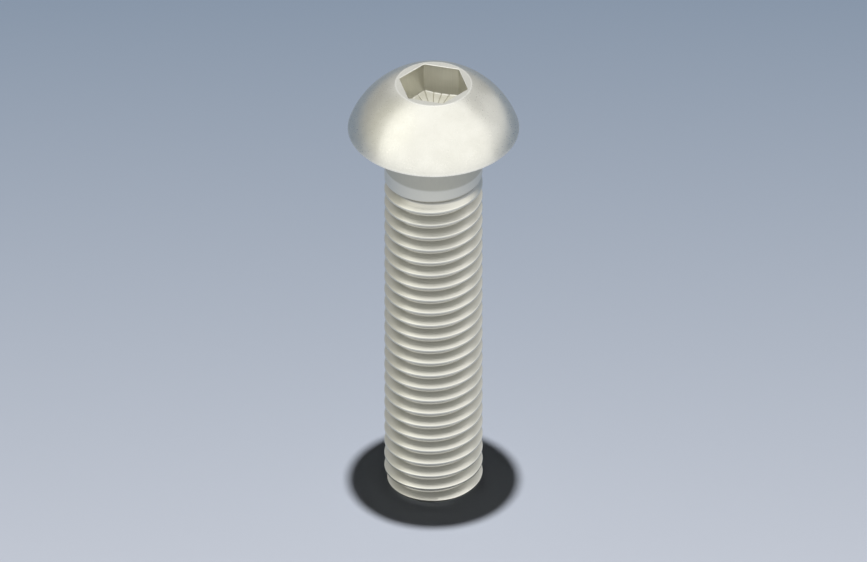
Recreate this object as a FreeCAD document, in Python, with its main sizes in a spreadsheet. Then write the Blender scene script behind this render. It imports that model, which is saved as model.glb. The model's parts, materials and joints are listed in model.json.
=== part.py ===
import FreeCAD, Part
import math
import os

import Sketcher

# Button head screw, M8 x 35 with a hexagon socket, cold forged as one piece.
# Millimetres. +Z runs along the axis towards the top of the head, and the origin is
# the centre of the bearing face under the head.
# The shank is a plain cylinder of the thread's major diameter, as a fine thread is drawn.

NODE = "button_head_screw"

# Driving dimensions: name, value, meaning.
SIZES = (
    ("thread_diameter", 8.0, "major diameter of the shank"),
    ("thread_pitch", 1.25, "coarse pitch, which sets how deep the tip is chamfered"),
    ("thread_depth_share", 0.541266, "depth of the thread over its pitch, 5/16 of the root of 3"),
    ("tip_chamfer_angle", 45.0, "degrees between the tip's chamfer and its end face"),
    ("nominal_length", 35.0, "from the bearing face to the end face"),
    ("head_diameter", 14.0, "across the rim, which lies in the bearing face"),
    ("head_height", 4.4, "from the bearing face to the flat on top"),
    ("head_flat_diameter", 6.2, "flat on top, around the socket"),
    ("transition_diameter", 9.2, "neck where it meets the bearing face"),
    ("neck_length", 3.5, "tapered neck between the bearing face and the shank"),
    ("socket_flats", 5.0, "across the flats of the hexagon"),
    ("socket_depth", 2.6, "from the top flat down to the foot of the hexagon's corners"),
    ("socket_floor_angle", 150.0, "degrees across the hollow cone at the socket's bottom"),
)

# Point positions on an edge, numbered from 1, and the fixed elements of every sketch.
START, END, CENTRE = range(1, 4)
ORIGIN, H_AXIS, V_AXIS = -1, -1, -2

doc = FreeCAD.newDocument("ButtonHeadScrew")


def make_sheet():
    sheet = doc.addObject("Spreadsheet::Sheet", "Sizes")
    for row, (alias, value, meaning) in enumerate(SIZES, start=1):
        sheet.set(f"A{row}", alias)
        sheet.set(f"B{row}", str(value))
        sheet.set(f"C{row}", meaning)
        sheet.setAlias(f"B{row}", alias)
    doc.recompute()


def new_sketch(body, name, plane_role):
    """An empty sketch on one of the body's own origin planes."""
    plane = next(f for f in body.Origin.OriginFeatures if f.Role == plane_role)
    sketch = body.newObject("Sketcher::SketchObject", name)
    sketch.AttachmentSupport = [(plane, "")]
    sketch.MapMode = "FlatFace"
    return sketch


def line(sketch, start, end):
    segment = Part.LineSegment(FreeCAD.Vector(*start, 0), FreeCAD.Vector(*end, 0))
    return sketch.addGeometry(segment, False)


def close_loop(sketch, edges):
    """Each edge ends where the next one starts, and the last one where the first does."""
    for edge, following in zip(edges, edges[1:] + edges[:1]):
        sketch.addConstraint(Sketcher.Constraint("Coincident", edge, END, following, START))


def align(sketch, kind, edges):
    for edge in edges:
        sketch.addConstraint(Sketcher.Constraint(kind, edge))


def put_on(sketch, axis, points):
    for edge, position in points:
        sketch.addConstraint(Sketcher.Constraint("PointOnObject", edge, position, axis))


def bind(sketch, name, constraint, expression):
    """Add a dimension to the sketch, name it and tie it to the sheet."""
    index = sketch.addConstraint(constraint)
    sketch.renameConstraint(index, name)
    sketch.setExpression(f"Constraints.{name}", expression)


def bind_radius(sketch, name, edge, position, start_value, expression):
    """The distance of a point from the screw's axis."""
    distance = Sketcher.Constraint("DistanceX", ORIGIN, START, edge, position, start_value)
    bind(sketch, name, distance, expression)


def bind_height(sketch, name, edge, position, start_value, expression):
    """The height of a point above the bearing face's plane."""
    distance = Sketcher.Constraint("DistanceY", ORIGIN, START, edge, position, start_value)
    bind(sketch, name, distance, expression)


def turn(body, kind, name, sketch):
    """Sweep a sketch once round the screw's axis, as a Revolution or a Groove."""
    feature = body.newObject(f"PartDesign::{kind}", name)
    feature.Profile = sketch
    feature.ReferenceAxis = (sketch, ["V_Axis"])
    feature.Angle = 360


def make_blank(size):
    """The screw without its socket, turned from half its outline."""
    body = doc.addObject("PartDesign::Body", "Blank")
    sketch = new_sketch(body, "HalfOutline", "XZ_Plane")

    # Where each corner starts out, before the dimensions take over.
    shank_r = size["thread_diameter"] / 2
    tip_r = shank_r - size["thread_pitch"] * size["thread_depth_share"]
    rim_r = size["head_diameter"] / 2
    flat_r = size["head_flat_diameter"] / 2
    neck_r = size["transition_diameter"] / 2
    top_z = size["head_height"]
    neck_z = -size["neck_length"]
    tip_z = -size["nominal_length"]
    chamfer_angle = math.radians(size["tip_chamfer_angle"])
    chamfer_z = tip_z + (shank_r - tip_r) * math.tan(chamfer_angle)
    centre_z = (top_z**2 + flat_r**2 - rim_r**2) / (2 * top_z)
    sphere = Part.Circle(
        FreeCAD.Vector(0, centre_z, 0), FreeCAD.Vector(0, 0, 1), math.hypot(rim_r, centre_z)
    )
    rim_angle = math.atan2(-centre_z, rim_r)
    flat_angle = math.atan2(top_z - centre_z, flat_r)

    end_face = line(sketch, (0, tip_z), (tip_r, tip_z))
    chamfer = line(sketch, (tip_r, tip_z), (shank_r, chamfer_z))
    shank = line(sketch, (shank_r, chamfer_z), (shank_r, neck_z))
    neck = line(sketch, (shank_r, neck_z), (neck_r, 0))
    bearing = line(sketch, (neck_r, 0), (rim_r, 0))
    dome = sketch.addGeometry(Part.ArcOfCircle(sphere, rim_angle, flat_angle), False)
    top_flat = line(sketch, (flat_r, top_z), (0, top_z))
    axis = line(sketch, (0, top_z), (0, tip_z))

    close_loop(sketch, [end_face, chamfer, shank, neck, bearing, dome, top_flat, axis])
    align(sketch, "Horizontal", (end_face, bearing, top_flat))
    align(sketch, "Vertical", (shank, axis))
    # The dome is part of a sphere whose centre lies on the screw's axis.
    put_on(sketch, V_AXIS, ((end_face, START), (dome, CENTRE)))
    put_on(sketch, H_AXIS, ((bearing, END),))

    bind_radius(sketch, "shank_radius", shank, START, shank_r, "Sizes.thread_diameter / 2")
    bind_radius(sketch, "tip_radius", chamfer, START, tip_r,
                "Sizes.thread_diameter / 2 - Sizes.thread_pitch * Sizes.thread_depth_share")
    bind_radius(sketch, "neck_radius", neck, END, neck_r, "Sizes.transition_diameter / 2")
    bind_radius(sketch, "rim_radius", dome, START, rim_r, "Sizes.head_diameter / 2")
    bind_radius(sketch, "flat_radius", dome, END, flat_r, "Sizes.head_flat_diameter / 2")
    bind_height(sketch, "top_height", dome, END, top_z, "Sizes.head_height")
    bind_height(sketch, "neck_foot_height", neck, START, neck_z, "-Sizes.neck_length")
    bind_height(sketch, "tip_height", end_face, START, tip_z, "-Sizes.nominal_length")
    bind(sketch, "chamfer_angle",
         Sketcher.Constraint("Angle", chamfer, START, end_face, END, math.pi - chamfer_angle),
         "180 deg - Sizes.tip_chamfer_angle * 1 deg")

    turn(body, "Revolution", "TurnedBlank", sketch)
    return body


def make_punch(size):
    """The tool that leaves the socket: a hexagonal bar whose end is turned to a blunt cone."""
    body = doc.addObject("PartDesign::Body", "SocketPunch")
    corner_r = size["socket_flats"] / math.sqrt(3)
    top_z = size["head_height"]
    half_angle = math.radians(size["socket_floor_angle"] / 2)

    # Two of the flats face +X and -X, so one corner lies on +Y.
    hexagon = new_sketch(body, "PunchHexagon", "XY_Plane")
    angles = [math.radians(90 + 60 * i) for i in range(6)]
    corners = [(corner_r * math.cos(a), corner_r * math.sin(a)) for a in angles]
    sides = [line(hexagon, corners[i - 1], corners[i]) for i in range(6)]
    guide_circle = Part.Circle(FreeCAD.Vector(0, 0, 0), FreeCAD.Vector(0, 0, 1), corner_r)
    guide = hexagon.addGeometry(guide_circle, True)
    hexagon.addConstraint(Sketcher.Constraint("Coincident", guide, CENTRE, ORIGIN, START))
    close_loop(hexagon, sides)
    put_on(hexagon, guide, [(side, END) for side in sides])
    for side in sides[1:]:
        hexagon.addConstraint(Sketcher.Constraint("Equal", sides[0], side))
    put_on(hexagon, V_AXIS, ((sides[0], END),))
    bind(hexagon, "corner_radius", Sketcher.Constraint("Radius", guide, corner_r),
         "Sizes.socket_flats / sqrt(3)")
    # The bar stands out of the head by as much as it goes in.
    hexagon.setExpression("AttachmentOffset.Base.z", "Sizes.head_height + Sizes.socket_depth")

    # This triangle lies under the cone, which passes through the foot of each corner.
    point = new_sketch(body, "PunchPoint", "XZ_Plane")
    apex_z = top_z - size["socket_depth"] - corner_r / math.tan(half_angle)
    outer_r = size["socket_flats"]
    outer_z = apex_z + outer_r / math.tan(half_angle)
    cone = line(point, (0, apex_z), (outer_r, outer_z))
    outside = line(point, (outer_r, outer_z), (outer_r, apex_z))
    base = line(point, (outer_r, apex_z), (0, apex_z))
    close_loop(point, [cone, outside, base])
    align(point, "Vertical", (outside,))
    align(point, "Horizontal", (base,))
    put_on(point, V_AXIS, ((cone, START),))
    bind_radius(point, "outer_radius", cone, END, outer_r, "Sizes.socket_flats")
    bind_height(point, "apex_height", cone, START, apex_z,
                "(Sizes.head_height - Sizes.socket_depth) * 1 mm"
                " - PunchHexagon.Constraints.corner_radius / tan(Sizes.socket_floor_angle / 2 * 1 deg)")
    bind(point, "slope",
         Sketcher.Constraint("Angle", base, END, cone, START, math.pi / 2 - half_angle),
         "90 deg - Sizes.socket_floor_angle / 2 * 1 deg")

    bar = body.newObject("PartDesign::Pad", "PunchBar")
    bar.Profile = hexagon
    bar.Reversed = True
    bar.setExpression(
        "Length", "PunchHexagon.AttachmentOffset.Base.z - PunchPoint.Constraints.apex_height"
    )
    doc.recompute()
    turn(body, "Groove", "PunchCone", point)
    return body


def make_screw(blank, punch):
    screw = doc.addObject("Part::Cut", "Screw")
    screw.Base = blank
    screw.Tool = punch
    screw.Label = NODE
    return screw


def check(screw):
    """Stop if a feature failed, a sketch isn't fully held or the screw isn't one solid."""
    for item in doc.Objects:
        if {"Invalid", "Error"} & set(item.State):
            raise RuntimeError(f"{item.Name} is {item.State}")
        if item.TypeId == "Sketcher::SketchObject" and not item.FullyConstrained:
            raise RuntimeError(f"{item.Name} isn't fully constrained")
    shape = screw.Shape
    if shape.isNull() or not shape.isValid() or len(shape.Solids) != 1:
        raise RuntimeError(f"{screw.Label} isn't one valid solid")


make_sheet()
start_sizes = {alias: value for alias, value, meaning in SIZES}
button_head_screw = make_screw(make_blank(start_sizes), make_punch(start_sizes))
doc.recompute()
check(button_head_screw)

os.makedirs("parts", exist_ok=True)
button_head_screw.Shape.exportStep(f"parts/{NODE}.step")
box = button_head_screw.Shape.BoundBox
print(f"{NODE}: {button_head_screw.Shape.Volume:.2f} mm3, "
      f"{box.XLength:.3f} x {box.YLength:.3f} x {box.ZLength:.3f} mm")
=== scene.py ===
import json
import math

import bmesh
import bpy
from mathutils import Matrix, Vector


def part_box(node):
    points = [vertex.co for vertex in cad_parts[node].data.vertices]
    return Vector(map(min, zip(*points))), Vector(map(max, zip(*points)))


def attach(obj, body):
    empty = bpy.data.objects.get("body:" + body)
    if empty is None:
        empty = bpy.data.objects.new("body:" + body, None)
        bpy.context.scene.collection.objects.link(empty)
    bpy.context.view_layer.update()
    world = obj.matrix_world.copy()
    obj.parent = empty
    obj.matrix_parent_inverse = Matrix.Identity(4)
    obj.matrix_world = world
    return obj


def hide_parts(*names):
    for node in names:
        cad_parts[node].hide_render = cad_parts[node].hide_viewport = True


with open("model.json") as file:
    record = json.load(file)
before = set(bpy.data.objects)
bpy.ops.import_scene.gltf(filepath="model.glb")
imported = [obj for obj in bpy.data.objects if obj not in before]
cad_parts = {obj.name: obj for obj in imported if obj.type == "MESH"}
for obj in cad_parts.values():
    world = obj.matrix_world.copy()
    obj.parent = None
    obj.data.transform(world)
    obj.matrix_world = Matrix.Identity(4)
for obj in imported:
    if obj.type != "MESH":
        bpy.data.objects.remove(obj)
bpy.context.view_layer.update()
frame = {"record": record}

# Button head screw, M8 x 35, of bare steel. The mesh keeps the solid's form and adds the
# rolled thread, soft edges and the fine lines on the socket's floor.

NODE = "button_head_screw"
MM = 0.001

# Sizes from the frame: the node's box and the mount that gives the plain stretch of the shank.
node_low, node_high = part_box(NODE)
shank_mount = next(m for m in frame["record"]["mounts"] if m["name"] == "threaded_shank")
shank_half = shank_mount["dims"]["length_mm"] * MM / 2
SHANK_R = shank_mount["dims"]["r_mm"] * MM
NECK_Z = shank_mount["pos_m"][2] + shank_half
CHAMFER_Z = shank_mount["pos_m"][2] - shank_half
RIM_R = node_high.x
TOP_Z = node_high.z
TIP_Z = node_low.z

# Sizes of the head and neck.
FLAT_R = 3.1 * MM
NECK_R = 4.6 * MM

# Sizes of the socket, a hexagon with rounded corners and a blunt cone for a floor.
SOCKET_FLAT_R = 2.5 * MM
SOCKET_DEPTH = 2.6 * MM
SOCKET_CORNER_R = 0.12 * MM
HALF_FLAT = math.radians(30)
SHARP_CORNER_R = SOCKET_FLAT_R / math.cos(HALF_FLAT)
FLOOR_SLOPE = math.radians(15)
FLOOR_FACETS = 24
FLOOR_LINE_DEPTH = 0.07 * MM
FLOOR_RING_SHARES = (0.12, 0.3, 0.5, 0.7, 0.85)
WALL_RING_SHARES = (0.25, 0.5, 0.75)

# The angle from the middle of a flat to the start of a rounded corner, and half a floor line's
# width. A floor line is as wide as a rounded corner.
CORNER_START = math.atan2((SOCKET_FLAT_R - SOCKET_CORNER_R) * math.tan(HALF_FLAT), SOCKET_FLAT_R)
LINE_HALF = HALF_FLAT - CORNER_START

# How far each soft corner reaches along its two sides.
MOUTH_SOFT = 0.06 * MM
FOOT_SOFT = 0.12 * MM
FLAT_SOFT = 0.06 * MM
RIM_SOFT = 0.06 * MM
UNDERHEAD_SOFT = 0.25 * MM
NECK_SOFT = 0.30 * MM

# The thread: 60 degree flanks, flat crests an eighth of the pitch wide, round roots. It runs out
# over most of its last turn, and ends on the side that the picture doesn't show.
PITCH = 1.25 * MM
CREST_HALF = PITCH / 16
SHARP_HEIGHT = PITCH * math.sqrt(3) / 2
ROOT_R = SHARP_HEIGHT / 6
ROOT_DEPTH = SHARP_HEIGHT * 7 / 8 - ROOT_R
CREST_SOFT = 0.035 * MM
FADE_TURNS = 0.9
THREAD_END = 135

# How finely the mesh is divided, how near two points count as one, and from which angle on an
# edge is sharp.
COLUMNS = 120
DOME_RINGS = 34
SOFT_STEPS = 4
CREST_STEPS = 2
SAME_PLACE = 0.004 * MM
SHARP_ANGLE = math.radians(35)

# The order of the materials on the mesh.
HEAD, SOCKET, NECK, THREAD, END = range(5)

# Colours, as linear red, green and blue.
STEEL_LIGHT = (0.74, 0.73, 0.67)
STEEL_DARK = (0.61, 0.60, 0.54)
SOCKET_LIGHT = (0.75, 0.74, 0.67)
SOCKET_DARK = (0.63, 0.62, 0.56)
THREAD_COLOUR = (0.61, 0.60, 0.54)
# The neck is darker than the rest of the steel: painted shade under the head.
NECK_SHADED_LIGHT = (0.56, 0.55, 0.475)
NECK_SHADED_DARK = (0.48, 0.47, 0.405)
# Painted shade: the thread's roots are darker than its flanks.
ROOT_SHADE = (0.36, 0.355, 0.32)
# The crests are lighter, partly for wear and partly as a painted highlight.
CREST_WEAR_AND_HIGHLIGHT = (0.71, 0.70, 0.63)
WORN_COLOUR = (0.84, 0.83, 0.78)
FLOOR_BLUE = (0.24, 0.30, 0.39)
FLOOR_PALE = (0.54, 0.575, 0.65)
FLOOR_WHITE = (0.80, 0.82, 0.85)
ROOM = (0.50, 0.50, 0.49)
WARM = (1.0, 0.97, 0.70)
COOL = (0.93, 0.95, 1.0)
WHITE = (1.0, 1.0, 1.0)

# How far wear reaches from an edge, what it leaves where it is weakest, and the range of the noise
# that makes it patchy.
WEAR_REACH = 0.09 * MM
WEAR_LEAST = 0.3
WEAR_NOISE = (0.3, 0.6)

# How wide the change at the neck's foot is, from the neck's painted shade to the lighter shank,
# and how much duller the neck is than what lies under it. How deep under the crests the lighter
# colour of their wear and painted highlight reaches.
NECK_FADE = 0.20 * MM
NECK_DULLNESS = 0.11
CREST_DEPTH = 0.08 * MM

# Nearly all values of the noise lie between these two.
NOISE_LOW = 0.3
NOISE_HIGH = 0.7

# The floor grows lighter from behind the screw towards the front: (place, colour).
FLOOR_STOPS = ((-70 * MM, FLOOR_BLUE), (12 * MM, FLOOR_PALE), (90 * MM, FLOOR_WHITE))
FLOOR_HALF = 2.0
FLOOR_GAP = 0.01 * MM

# The softboxes: name, azimuth, elevation, angle across, brightness and colour.
SOFTBOXES = (
    ("front_softbox", 50, 32, 156, 0.89, WHITE),
    ("left_softbox", -42, 36, 64, 0.21, WARM),
    ("right_softbox", 162, 6, 54, 0.47, COOL),
    ("back_softbox", 225, 45, 70, 0.42, COOL),
)

# The lamp over the stage, and how much of the room's brightness falls on matt surfaces.
OVERHEAD_STRENGTH = 3.05
OVERHEAD_ANGLE = 1.9
ROOM_LIGHT = 0.03

# The picture is an orthographic view from above one corner, 867 pixels wide.
VIEW_AZIMUTH = 45
VIEW_ELEVATION = math.degrees(math.asin(1 / math.sqrt(3)))
VIEW_DISTANCE = 0.2
PICTURE_WIDTH = 867
PIXELS_PER_MM = 12.286
BEARING_PIXELS_ABOVE_MIDDLE = 153.15


def column_angles():
    """Even steps round the axis from the thread's end, and more at the socket's lines and corners."""
    steps = {360 * i / COLUMNS for i in range(COLUMNS)}
    reach = math.degrees(LINE_HALF)
    lines = [360 * i / FLOOR_FACETS for i in range(FLOOR_FACETS)]
    steps |= {line + side for line in lines for side in (-reach, reach)}
    steps |= {corner + side for corner in range(30, 360, 60) for side in (-reach / 2, reach / 2)}
    return [math.radians(a) for a in sorted((a - THREAD_END) % 360 + THREAD_END for a in steps)]


def fold(angle, step):
    """The signed angle from the nearest multiple of step."""
    return angle - step * round(angle / step)


def socket_radius(angle):
    """The hexagon's radius: flats face +X and -X, and the corners are rounded."""
    from_flat = abs(fold(angle, 2 * HALF_FLAT))
    if from_flat <= CORNER_START:
        return SOCKET_FLAT_R / math.cos(from_flat)
    from_corner = HALF_FLAT - from_flat
    centre_r = SHARP_CORNER_R - SOCKET_CORNER_R / math.cos(HALF_FLAT)
    across = centre_r * math.sin(from_corner)
    return centre_r * math.cos(from_corner) + math.sqrt(SOCKET_CORNER_R**2 - across**2)


def floor_height(angle, radius):
    """The socket's floor: a blunt cone of narrow facets with a fine line between each two."""
    facet = 2 * math.pi / FLOOR_FACETS
    from_line = abs(fold(angle, facet))
    apex_z = TOP_Z - SOCKET_DEPTH - SHARP_CORNER_R * math.tan(FLOOR_SLOPE)
    bow = math.cos(facet / 2 - from_line) / math.cos(facet / 2)
    line = max(0, 1 - from_line / LINE_HALF) * FLOOR_LINE_DEPTH * radius / SHARP_CORNER_R
    return apex_z + radius * math.tan(FLOOR_SLOPE) * bow - line


def soft_corner(before, corner, after, reach, steps=SOFT_STEPS):
    """Points (radius, height) on a curve that rounds a corner between its two neighbours."""
    before, corner, after = Vector(before), Vector(corner), Vector(after)
    start = corner + (before - corner).normalized() * reach
    end = corner + (after - corner).normalized() * reach
    points = []
    for i in range(steps + 1):
        t = i / steps
        points.append(start * (1 - t) ** 2 + corner * 2 * t * (1 - t) + end * t**2)
    return points


def socket_rings():
    """Rings from the middle of the floor, up the walls and out over the mouth's edge."""
    rings = []
    for share in FLOOR_RING_SHARES:
        radii = [share * socket_radius(angle) for angle in ANGLES]
        heights = [floor_height(angle, radius) for angle, radius in zip(ANGLES, radii)]
        rings.append(list(zip(radii, heights)))
    curves = []
    for angle in ANGLES:
        wall_r = socket_radius(angle)
        foot = (wall_r, floor_height(angle, wall_r))
        inside = (wall_r - FOOT_SOFT, floor_height(angle, wall_r - FOOT_SOFT))
        mouth = (wall_r, TOP_Z)
        low_curve = soft_corner(inside, foot, mouth, FOOT_SOFT)
        high_curve = soft_corner(foot, mouth, (FLAT_R, TOP_Z), MOUTH_SOFT)
        wall = [low_curve[-1].lerp(high_curve[0], share) for share in WALL_RING_SHARES]
        curves.append(low_curve + wall + high_curve)
    rings += [[tuple(curve[i]) for curve in curves] for i in range(len(curves[0]))]
    return rings


def head_outline():
    """Points (radius, height) from the top flat over the dome, rim and neck to the shank."""
    centre_z = (TOP_Z**2 + FLAT_R**2 - RIM_R**2) / (2 * TOP_Z)
    sphere_r = math.hypot(RIM_R, centre_z)
    start = math.atan2(TOP_Z - centre_z, FLAT_R)
    end = math.atan2(-centre_z, RIM_R)
    dome = []
    for i in range(DOME_RINGS + 1):
        angle = start + (end - start) * i / DOME_RINGS
        dome.append((sphere_r * math.cos(angle), centre_z + sphere_r * math.sin(angle)))
    flat_edge, rim = dome[0], dome[-1]
    neck_top, neck_foot = (NECK_R, 0), (SHANK_R, NECK_Z)
    shank_end = (SHANK_R, CHAMFER_Z)
    outline = soft_corner((0, TOP_Z), flat_edge, dome[1], FLAT_SOFT)
    outline += dome[1:-1]
    outline += soft_corner(dome[-2], rim, neck_top, RIM_SOFT)
    outline += soft_corner(rim, neck_top, neck_foot, UNDERHEAD_SOFT)
    outline += soft_corner(neck_top, neck_foot, shank_end, NECK_SOFT)
    return outline


def thread_profile():
    """One pitch of the thread as (height, depth), from the middle of one crest to the next."""
    root = PITCH / 2
    flank_end = (root - ROOT_R * math.sin(math.radians(60)), ROOT_DEPTH - ROOT_R / 2)
    corner = soft_corner((0, 0), (CREST_HALF, 0), flank_end, CREST_SOFT, CREST_STEPS)
    half = [(0, 0)] + [tuple(p) for p in corner]
    half.append(tuple((corner[-1] + Vector(flank_end)) / 2))
    for degrees in (-60, -30):
        angle = math.radians(degrees)
        depth = ROOT_DEPTH - ROOT_R * (1 - math.cos(angle))
        half.append((root + ROOT_R * math.sin(angle), depth))
    mirrored = [(PITCH - height, depth) for height, depth in reversed(half[1:])]
    return half + [(root, ROOT_DEPTH)] + mirrored


def ease(share):
    """A smooth start and end for a share from 0 to 1. Beyond those it is held."""
    share = min(1, max(0, share))
    return share * share * (3 - 2 * share)


def add_ring(bm, points):
    """One ring of vertices from (radius, height) pairs, one for each column."""
    ring = []
    for angle, (radius, height) in zip(ANGLES, points):
        ring.append(bm.verts.new((radius * math.cos(angle), radius * math.sin(angle), height)))
    return ring


def add_face(bm, verts, material):
    bm.faces.new(verts).material_index = material


def bridge(bm, inner, outer, material):
    """A band of faces between two rings."""
    for j in range(len(inner)):
        k = (j + 1) % len(inner)
        add_face(bm, (inner[j], outer[j], outer[k], inner[k]), material)


def add_head(bm):
    """The socket, dome, rim, bearing face and neck. Returns the ring at the shank's top."""
    socket = [add_ring(bm, points) for points in socket_rings()]
    outline = head_outline()
    outside = [add_ring(bm, [point] * len(ANGLES)) for point in outline]
    apex = bm.verts.new((0, 0, floor_height(0, 0)))
    for j in range(len(ANGLES)):
        add_face(bm, (apex, socket[0][j], socket[0][(j + 1) % len(ANGLES)]), SOCKET)
    for inner, outer in zip(socket, socket[1:]):
        bridge(bm, inner, outer, SOCKET)
    for inner, outer, point in zip([socket[-1]] + outside, outside, outline):
        on_neck = point[1] < 0 and point[0] < NECK_R
        bridge(bm, inner, outer, NECK if on_neck else HEAD)
    return outside[-1]


def add_thread(bm, neck_ring):
    """A helical grid: each row climbs one pitch in a turn and so meets the row a pitch above."""
    profile = thread_profile()
    per_turn = len(profile)
    last = len(ANGLES) - 1
    top_z = NECK_Z - NECK_SOFT - CREST_SOFT
    turns = math.ceil((top_z - TIP_Z) / PITCH) + 1
    bottom_z = top_z - (turns + 1) * PITCH
    grid = []
    for i in range(turns * per_turn + 1):
        turn, step = divmod(i, per_turn)
        height, depth = profile[step]
        row = []
        for angle in ANGLES:
            climbed = turn + (angle - ANGLES[0]) / (2 * math.pi)
            radius = SHANK_R - depth * ease((turns - climbed) / FADE_TURNS)
            z = bottom_z + height + climbed * PITCH
            row.append(bm.verts.new((radius * math.cos(angle), radius * math.sin(angle), z)))
        grid.append(row)
    for low, high in zip(grid, grid[1:]):
        for j in range(last):
            add_face(bm, (low[j], high[j], high[j + 1], low[j + 1]), THREAD)
    # The last column meets the first one a whole turn further up.
    for i in range(len(grid) - per_turn - 1):
        corners = grid[i][last], grid[i + 1][last], grid[i + 1 + per_turn][0], grid[i + per_turn][0]
        add_face(bm, corners, THREAD)
    top = grid[-1]
    for j in range(last):
        add_face(bm, (top[j], neck_ring[j], neck_ring[j + 1], top[j + 1]), THREAD)
    seam = [grid[i][last] for i in range(len(grid) - 1 - per_turn, len(grid))] + [neck_ring[last]]
    for low, high in zip(seam, seam[1:] + [neck_ring[0]]):
        add_face(bm, (top[0], low, high), THREAD)


def split_at_zero(bm, value):
    """Cut the faces along the line where value, a function of a vertex, changes sign."""
    values = {v: value(v) for v in bm.verts}
    on_line = set()
    for edge in list(bm.edges):
        a, b = edge.verts
        if values[a] * values[b] < 0:
            share = values[a] / (values[a] - values[b])
            _, middle = bmesh.utils.edge_split(edge, a, share)
            values[middle] = 0
            on_line.add(middle)
    for face in list(bm.faces):
        cut = [v for v in face.verts if v in on_line]
        if len(cut) == 2:
            bmesh.utils.face_split(face, *cut)
    return values


def radius_of(vert):
    return math.hypot(vert.co.x, vert.co.y)


def chamfer_radius(vert):
    """The radius of the 45 degree chamfer's cone at a vertex's height."""
    return SHANK_R + vert.co.z - CHAMFER_Z


def finish_tip(bm):
    """Chamfer the thread's start, cut it off square and close it with the end face."""
    outside_cone = split_at_zero(bm, lambda v: radius_of(v) - chamfer_radius(v))
    for vert, excess in outside_cone.items():
        if excess > 0:
            scale = chamfer_radius(vert) / radius_of(vert)
            vert.co.x *= scale
            vert.co.y *= scale
    above_end = split_at_zero(bm, lambda v: v.co.z - TIP_Z)
    below = [v for v, height in above_end.items() if height < 0]
    bmesh.ops.delete(bm, geom=below, context="VERTS")
    rim = [e for e in bm.edges if e.is_boundary]
    end_face = bmesh.ops.contextual_create(bm, geom=rim)["faces"]
    for face in end_face:
        face.material_index = END
    bmesh.ops.poke(bm, faces=end_face)
    bmesh.ops.remove_doubles(bm, verts=bm.verts, dist=SAME_PLACE)


def make_screw():
    bm = bmesh.new()
    add_thread(bm, add_head(bm))
    finish_tip(bm)
    bmesh.ops.recalc_face_normals(bm, faces=bm.faces)
    for face in bm.faces:
        face.smooth = True
    for edge in bm.edges:
        at_end = sum(face.material_index == END for face in edge.link_faces) == 1
        edge.smooth = not at_end and edge.calc_face_angle() < SHARP_ANGLE
    mesh = bpy.data.meshes.new("screw")
    bm.to_mesh(mesh)
    bm.free()
    screw = bpy.data.objects.new("screw", mesh)
    bpy.context.scene.collection.objects.link(screw)
    normals = screw.modifiers.new("weighted_normals", "WEIGHTED_NORMAL")
    normals.keep_sharp = True
    return screw


def new_material(name):
    """A new material, with its nodes and its shader."""
    material = bpy.data.materials.new(name)
    material.use_nodes = True
    nodes = material.node_tree.nodes
    return material, nodes, nodes["Principled BSDF"]


def add_node(nodes, kind, links=(), **settings):
    """A node with its settings, and its inputs joined to the sockets in links."""
    node = nodes.new(kind)
    for setting, value in settings.items():
        setattr(node, setting, value)
    for name, source in links:
        if hasattr(source, "is_output"):
            node.id_data.links.new(source, node.inputs[name])
        else:
            node.inputs[name].default_value = source
    return node


def object_place(nodes):
    """The place on the object, in the frame's own axes."""
    return nodes.new("ShaderNodeTexCoord").outputs["Object"]


def grain(nodes, size, stretch=(1, 1, 1), detail=2.0):
    """Noise from 0 to 1 with grains of about the given size, drawn out along some axes."""
    scale = [1 / (size * share) for share in stretch]
    links = [("Vector", object_place(nodes)), ("Scale", scale)]
    mapped = add_node(nodes, "ShaderNodeMapping", links)
    links = [("Vector", mapped.outputs["Vector"]), ("Scale", 1.0), ("Detail", detail)]
    return add_node(nodes, "ShaderNodeTexNoise", links).outputs["Fac"]


def radius_value(nodes):
    """The distance from the screw's axis."""
    links = [(0, object_place(nodes)), (1, (1, 1, 0))]
    flat = add_node(nodes, "ShaderNodeVectorMath", links, operation="MULTIPLY").outputs[0]
    length = add_node(nodes, "ShaderNodeVectorMath", [(0, flat)], operation="LENGTH")
    return length.outputs["Value"]


def height_value(nodes):
    """The height above the bearing face."""
    return add_node(nodes, "ShaderNodeSeparateXYZ", [(0, object_place(nodes))]).outputs["Z"]


def combine(nodes, operation, first, second=0.0):
    """One step of arithmetic on one or two values."""
    links = [(0, first), (1, second)]
    return add_node(nodes, "ShaderNodeMath", links, operation=operation).outputs[0]


def remap(nodes, value, low, high, to_low, to_high):
    """A straight-line change of a value's range, held at the ends."""
    links = [("Value", value), ("From Min", low), ("From Max", high)]
    links += [("To Min", to_low), ("To Max", to_high)]
    return add_node(nodes, "ShaderNodeMapRange", links).outputs["Result"]


def spread(nodes, noise, least, most):
    """Noise brought to the range from least to most."""
    return remap(nodes, noise, NOISE_LOW, NOISE_HIGH, least, most)


def worn_edge(nodes, place, edge, patches):
    """From 1 on an edge to 0 a little away from it, weaker in patches, as rubbing leaves it."""
    away = combine(nodes, "ABSOLUTE", combine(nodes, "SUBTRACT", place, edge))
    near = remap(nodes, away, 0, WEAR_REACH, 1, 0)
    rubbed = remap(nodes, patches, *WEAR_NOISE, WEAR_LEAST, 1)
    return combine(nodes, "MULTIPLY", near, rubbed)


def blend_colour(nodes, share, first, second):
    """Mix two colours by a share from 0 to 1. Each is a colour or the output of another node."""
    links = [("Fac", share)]
    for name, colour in (("Color1", first), ("Color2", second)):
        links.append((name, colour if hasattr(colour, "is_output") else (*colour, 1)))
    return add_node(nodes, "ShaderNodeMixRGB", links).outputs["Color"]


def bump(nodes, height, distance):
    """The surface's normal where a value from 0 to 1 raises it by up to distance."""
    links = [("Height", height), ("Distance", distance)]
    return add_node(nodes, "ShaderNodeBump", links).outputs["Normal"]


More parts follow.
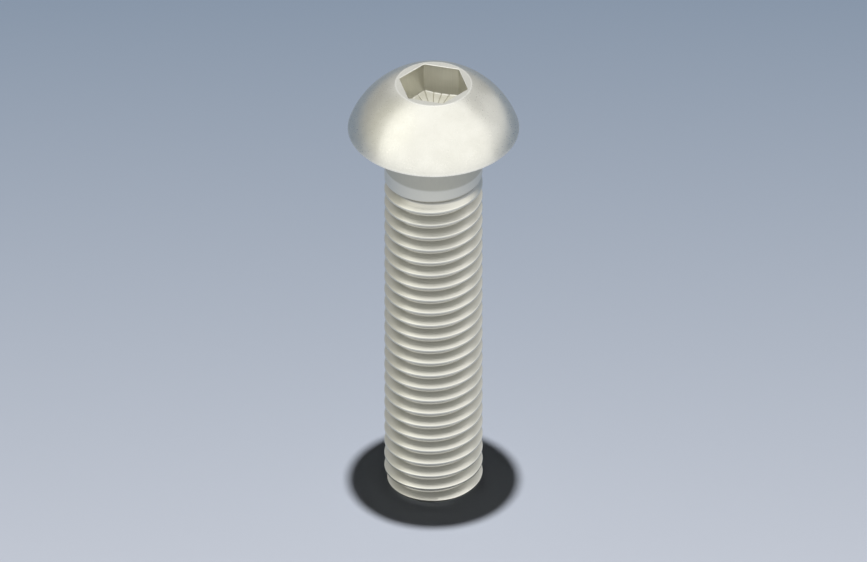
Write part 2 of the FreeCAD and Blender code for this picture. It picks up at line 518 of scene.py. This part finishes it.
def finish_metal(shader, colour, roughness, normal):
    """Make the shader bare metal, with its colour, roughness and normal from other nodes."""
    links = shader.id_data.links
    shader.inputs["Metallic"].default_value = 1.0
    links.new(colour, shader.inputs["Base Color"])
    links.new(roughness, shader.inputs["Roughness"])
    links.new(normal, shader.inputs["Normal"])


def forged_steel():
    """The cold forged head: satin, with a fine grain, faint soft blotches and rubbed edges."""
    material, nodes, shader = new_material("forged_steel")
    blotches = grain(nodes, 1.6 * MM)
    fine = grain(nodes, 0.10 * MM, detail=1.0)
    radius = radius_value(nodes)
    rim_wear = worn_edge(nodes, radius, RIM_R, fine)
    flat_wear = worn_edge(nodes, radius, FLAT_R, fine)
    worn = combine(nodes, "MAXIMUM", rim_wear, flat_wear)
    colour = blend_colour(nodes, blotches, STEEL_DARK, STEEL_LIGHT)
    colour = blend_colour(nodes, worn, colour, WORN_COLOUR)
    roughness = spread(nodes, fine, least=0.27, most=0.41)
    normal = bump(nodes, fine, distance=0.0016 * MM)
    finish_metal(shader, colour, roughness, normal)
    return material


def punched_steel():
    """The socket: fine lines up the walls, left by the punch, and a mouth rubbed by keys."""
    material, nodes, shader = new_material("punched_steel")
    lines = grain(nodes, 0.10 * MM, stretch=(1, 1, 30), detail=3.0)
    worn = worn_edge(nodes, height_value(nodes), TOP_Z, lines)
    colour = blend_colour(nodes, lines, SOCKET_DARK, SOCKET_LIGHT)
    colour = blend_colour(nodes, worn, colour, WORN_COLOUR)
    roughness = spread(nodes, lines, least=0.30, most=0.42)
    normal = bump(nodes, lines, distance=0.0015 * MM)
    finish_metal(shader, colour, roughness, normal)
    return material


def drawn_steel():
    """The neck: duller, with fine lines along the axis, darker as painted shade under the head, and
    smoother and lighter under its foot.
    """
    material, nodes, shader = new_material("drawn_steel")
    lines = grain(nodes, 0.12 * MM, stretch=(1, 1, 25), detail=3.0)
    fade_start = NECK_Z - NECK_FADE / 2
    fade_end = NECK_Z + NECK_FADE / 2
    rolled = remap(nodes, height_value(nodes), fade_start, fade_end, 1, 0)
    # Painted shade: the neck is darker than the shank under its foot.
    colour = blend_colour(nodes, lines, NECK_SHADED_DARK, NECK_SHADED_LIGHT)
    colour = blend_colour(nodes, rolled, colour, CREST_WEAR_AND_HIGHLIGHT)
    dull = spread(nodes, lines, least=0.42, most=0.52)
    smoother = combine(nodes, "MULTIPLY", rolled, NECK_DULLNESS)
    roughness = combine(nodes, "SUBTRACT", dull, smoother)
    normal = bump(nodes, lines, distance=0.002 * MM)
    finish_metal(shader, colour, roughness, normal)
    return material


def rolled_steel():
    """The thread: smooth flanks with fine lines round the axis, painted shade darkening the roots,
    and crests lighter for wear and as a painted highlight.
    """
    material, nodes, shader = new_material("rolled_steel")
    lines = grain(nodes, 0.06 * MM, stretch=(40, 40, 1), detail=3.0)
    radius = radius_value(nodes)
    flank = remap(nodes, radius, SHANK_R - ROOT_DEPTH, SHANK_R - CREST_DEPTH, 0, 1)
    crest = remap(nodes, radius, SHANK_R - CREST_DEPTH, SHANK_R - CREST_DEPTH / 4, 0, 1)
    # Painted shade: darker towards the roots.
    colour = blend_colour(nodes, flank, ROOT_SHADE, THREAD_COLOUR)
    # Lighter at the crests: wear and a painted highlight.
    colour = blend_colour(nodes, crest, colour, CREST_WEAR_AND_HIGHLIGHT)
    roughness = spread(nodes, lines, least=0.30, most=0.42)
    normal = bump(nodes, lines, distance=0.0025 * MM)
    finish_metal(shader, colour, roughness, normal)
    return material


def cropped_steel():
    """The end face: cut off square, with short tears, and rougher than the thread."""
    material, nodes, shader = new_material("cropped_steel")
    tears = grain(nodes, 0.10 * MM, stretch=(1, 12, 1), detail=4.0)
    colour = blend_colour(nodes, tears, STEEL_DARK, STEEL_LIGHT)
    roughness = spread(nodes, tears, least=0.40, most=0.55)
    normal = bump(nodes, tears, distance=0.004 * MM)
    finish_metal(shader, colour, roughness, normal)
    return material


def floor_material():
    """Matt pale blue-grey paper that is lighter towards the front."""
    material, nodes, shader = new_material("floor")
    shader.inputs["Roughness"].default_value = 0.9
    shader.inputs["Specular IOR Level"].default_value = 0.1
    links = [(0, object_place(nodes)), (1, direction(VIEW_AZIMUTH, 0))]
    forward = add_node(nodes, "ShaderNodeVectorMath", links, operation="DOT_PRODUCT")
    back, front = FLOOR_STOPS[0][0], FLOOR_STOPS[-1][0]
    share = remap(nodes, forward.outputs["Value"], back, front, 0, 1)
    ramp = add_node(nodes, "ShaderNodeValToRGB", [("Fac", share)])
    ramp.color_ramp.elements.new(0.5)
    for element, (stop, colour) in zip(ramp.color_ramp.elements, FLOOR_STOPS):
        element.position = (stop - back) / (front - back)
        element.color = (*colour, 1)
    shader.id_data.links.new(ramp.outputs["Color"], shader.inputs["Base Color"])
    return material


def make_stage():
    """A wide square floor just under the screw's end face."""
    mesh = bpy.data.meshes.new("floor")
    signs = ((-1, -1), (1, -1), (1, 1), (-1, 1))
    corners = [(x * FLOOR_HALF, y * FLOOR_HALF, TIP_Z - FLOOR_GAP) for x, y in signs]
    mesh.from_pydata(corners, [], [(0, 1, 2, 3)])
    floor = bpy.data.objects.new("floor", mesh)
    bpy.context.scene.collection.objects.link(floor)
    mesh.materials.append(floor_material())
    return floor


def direction(azimuth, elevation):
    """From the object towards a place: azimuth 0 is -Y and 90 is +X, both in degrees."""
    a, e = math.radians(azimuth), math.radians(elevation)
    return Vector((math.sin(a) * math.cos(e), -math.cos(a) * math.cos(e), math.sin(e)))


def aim(obj, towards):
    """Turn a lamp or camera so that it looks along a direction."""
    obj.rotation_mode = "QUATERNION"
    obj.rotation_quaternion = towards.to_track_quat("-Z", "Y")


def add_sun(name, azimuth, elevation, strength, angle, colour):
    """A far lamp that looks like an even disc, angle degrees across."""
    light = bpy.data.lights.new(name, "SUN")
    light.energy = strength
    light.angle = math.radians(angle)
    light.color = colour
    lamp = bpy.data.objects.new(name, light)
    bpy.context.scene.collection.objects.link(lamp)
    aim(lamp, -direction(azimuth, elevation))
    return lamp


def link_light(lamp, stage, state):
    """Keep a lamp's light off the stage, as a flag does, or let it fall on the stage alone."""
    linked = bpy.data.collections.new(lamp.name + "_link")
    linked.objects.link(stage)
    lamp.light_linking.receiver_collection = linked
    linked.collection_objects[0].light_linking.link_state = state


def add_softbox(name, stage, azimuth, elevation, angle, brightness, colour):
    """A softbox for the screw alone. A brightness of 1 looks white in a mirror."""
    strength = math.pi * math.sin(math.radians(angle / 2)) ** 2 * brightness
    lamp = add_sun(name, azimuth, elevation, strength, angle, colour)
    link_light(lamp, stage, "EXCLUDE")


def make_lights(stage):
    """A lamp straight above, for the stage and the screw's shadow on it, and the softboxes."""
    overhead = add_sun("overhead_lamp", 0, 90, OVERHEAD_STRENGTH, OVERHEAD_ANGLE, WHITE)
    link_light(overhead, stage, "INCLUDE")
    for name, azimuth, elevation, angle, brightness, colour in SOFTBOXES:
        add_softbox(name, stage, azimuth, elevation, angle, brightness, colour)


def make_world():
    """An even pale room. It is dimmer as a light, so that the screw's shadow stays."""
    world = bpy.data.worlds.new("studio")
    bpy.context.scene.world = world
    world.use_nodes = True
    nodes = world.node_tree.nodes
    background = nodes["Background"]
    background.inputs["Color"].default_value = (*ROOM, 1)
    path = nodes.new("ShaderNodeLightPath").outputs
    seen = combine(nodes, "MAXIMUM", path["Is Camera Ray"], path["Is Glossy Ray"])
    seen = combine(nodes, "MAXIMUM", seen, path["Is Transmission Ray"])
    strength = remap(nodes, seen, 0, 1, ROOM_LIGHT, 1)
    world.node_tree.links.new(strength, background.inputs["Strength"])


def make_camera():
    """The camera of the picture, which has the bearing face's centre on its upright middle line."""
    data = bpy.data.cameras.new("camera")
    data.type = "ORTHO"
    data.ortho_scale = PICTURE_WIDTH / PIXELS_PER_MM * MM
    camera = bpy.data.objects.new("camera", data)
    bpy.context.scene.collection.objects.link(camera)
    back = direction(VIEW_AZIMUTH, VIEW_ELEVATION)
    drop = BEARING_PIXELS_ABOVE_MIDDLE / PIXELS_PER_MM * MM
    drop /= math.cos(math.radians(VIEW_ELEVATION))
    camera.location = Vector((0, 0, -drop)) + back * VIEW_DISTANCE
    data.clip_start = 0.001
    data.clip_end = 10
    aim(camera, -back)
    bpy.context.scene.camera = camera


ANGLES = column_angles()
make_camera()
make_lights(make_stage())
make_world()
screw = make_screw()
for make_material in (forged_steel, punched_steel, drawn_steel, rolled_steel, cropped_steel):
    screw.data.materials.append(make_material())
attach(screw, "root")
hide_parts(NODE)

bpy.context.scene.view_settings.view_transform = "Standard"
